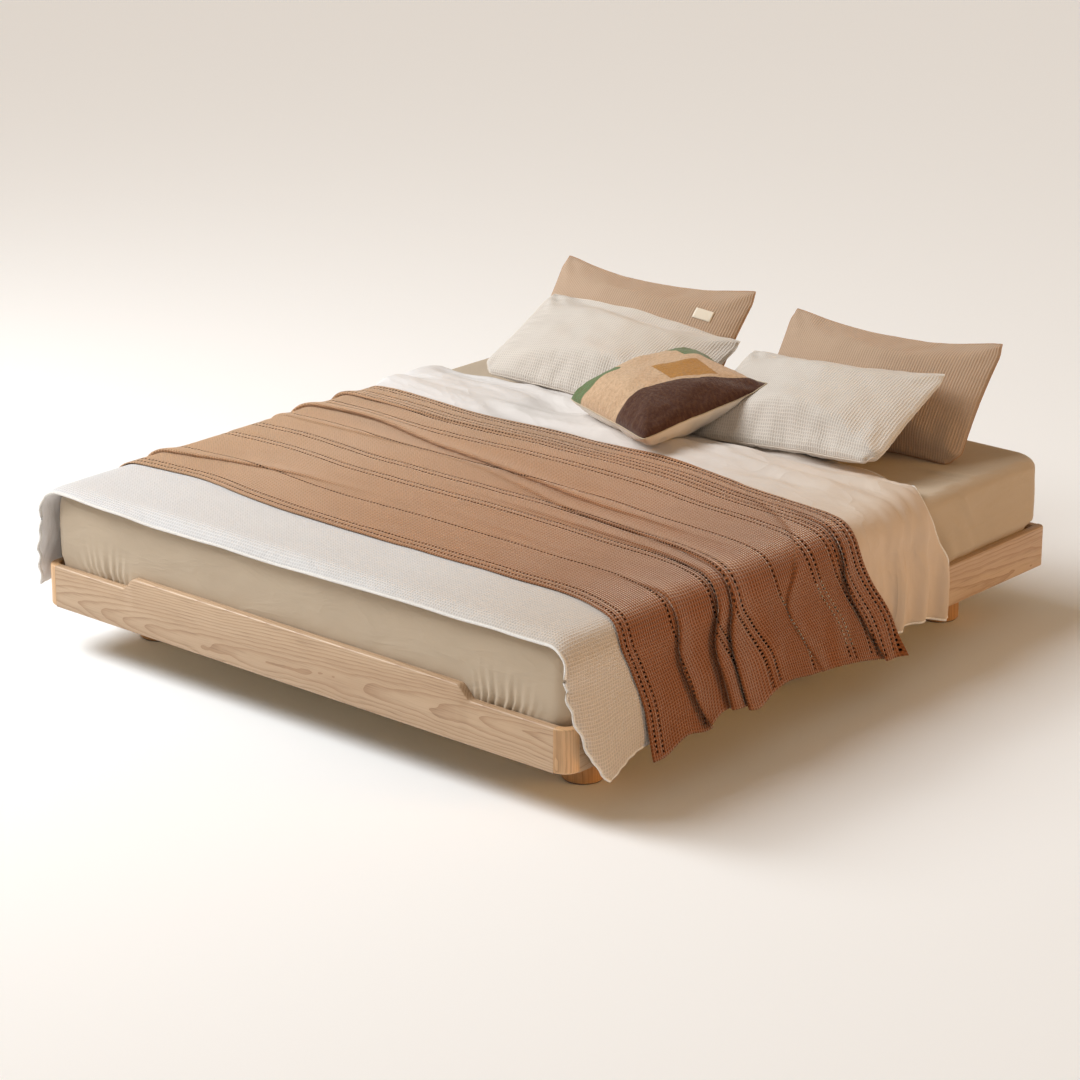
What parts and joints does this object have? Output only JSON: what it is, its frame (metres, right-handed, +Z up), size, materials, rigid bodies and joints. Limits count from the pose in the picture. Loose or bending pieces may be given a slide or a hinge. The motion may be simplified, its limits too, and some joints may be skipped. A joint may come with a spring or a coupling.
{
  "type": "wooden bed frame",
  "caption": "Low floating-look oak bed frame with a stepped foot rail, rounded foot corners and inset round legs, made up with mattress, duvet, knitted throw, pillows and cushion.",
  "frame": {"origin": "on the floor under the centre of the frame's plan", "axes": "+Z up, +Y towards the head end, +X towards the right side seen from the foot"},
  "size_m": [1.934, 2.06, 0.7494],
  "materials": {
    "oak": "satin",
    "leg_oak": "satin",
    "pine": "matte",
    "steel": "satin",
    "felt": "matte",
    "fitted_sheet": "matte",
    "white_waffle": "matte",
    "brown_knit": "matte",
    "brown_waffle": "matte",
    "patch_canvas": "matte"
  },
  "bodies": {
    "bed_frame": {"beam_bracket_foot": "steel", "beam_bracket_head": "steel", "centre_beam": "pine", "corner_block_foot_left": "pine", "corner_block_foot_right": "pine", "corner_block_head_left": "pine", "corner_block_head_right": "pine", "corner_bolt_foot_left": "steel", "corner_bolt_foot_right": "steel", "corner_bolt_head_left": "steel", "corner_bolt_head_right": "steel", "cross_bearer_foot": "pine", "cross_bearer_head": "pine", "felt_pad_centre_foot": "felt", "felt_pad_centre_head": "felt", "felt_pad_foot_left": "felt", "felt_pad_foot_right": "felt", "felt_pad_head_left": "felt", "felt_pad_head_right": "felt", "foot_corner_left": "oak", "foot_corner_right": "oak", "foot_rail": "oak", "head_rail": "oak", "leg_bolt_centre_foot": "steel", "leg_bolt_centre_head": "steel", "leg_bolt_foot_left": "steel", "leg_bolt_foot_right": "steel", "leg_bolt_head_left": "steel", "leg_bolt_head_right": "steel", "leg_centre_foot": "leg_oak", "leg_centre_head": "leg_oak", "leg_foot_left": "leg_oak", "leg_foot_right": "leg_oak", "leg_head_left": "leg_oak", "leg_head_right": "leg_oak", "side_rail_left": "oak", "side_rail_right": "oak", "slat_01": "pine", "slat_02": "pine", "slat_03": "pine", "slat_04": "pine", "slat_05": "pine", "slat_06": "pine", "slat_07": "pine", "slat_08": "pine", "slat_09": "pine", "slat_10": "pine", "slat_11": "pine", "slat_12": "pine", "slat_ledge_left": "pine", "slat_ledge_right": "pine"},
    "bedding": {"brown_pillow_left": "brown_waffle", "brown_pillow_right": "brown_waffle", "cushion": "patch_canvas", "duvet": "white_waffle", "mattress": "fitted_sheet", "throw_blanket": "brown_knit", "white_pillow_left": "white_waffle", "white_pillow_right": "white_waffle"}
  },
  "joints": [
    {"name": "bedding_lift", "type": "slide", "parent": "bed_frame", "child": "bedding", "axis": [0, 0, 1], "range_m": [0, 0.45]}
  ]
}
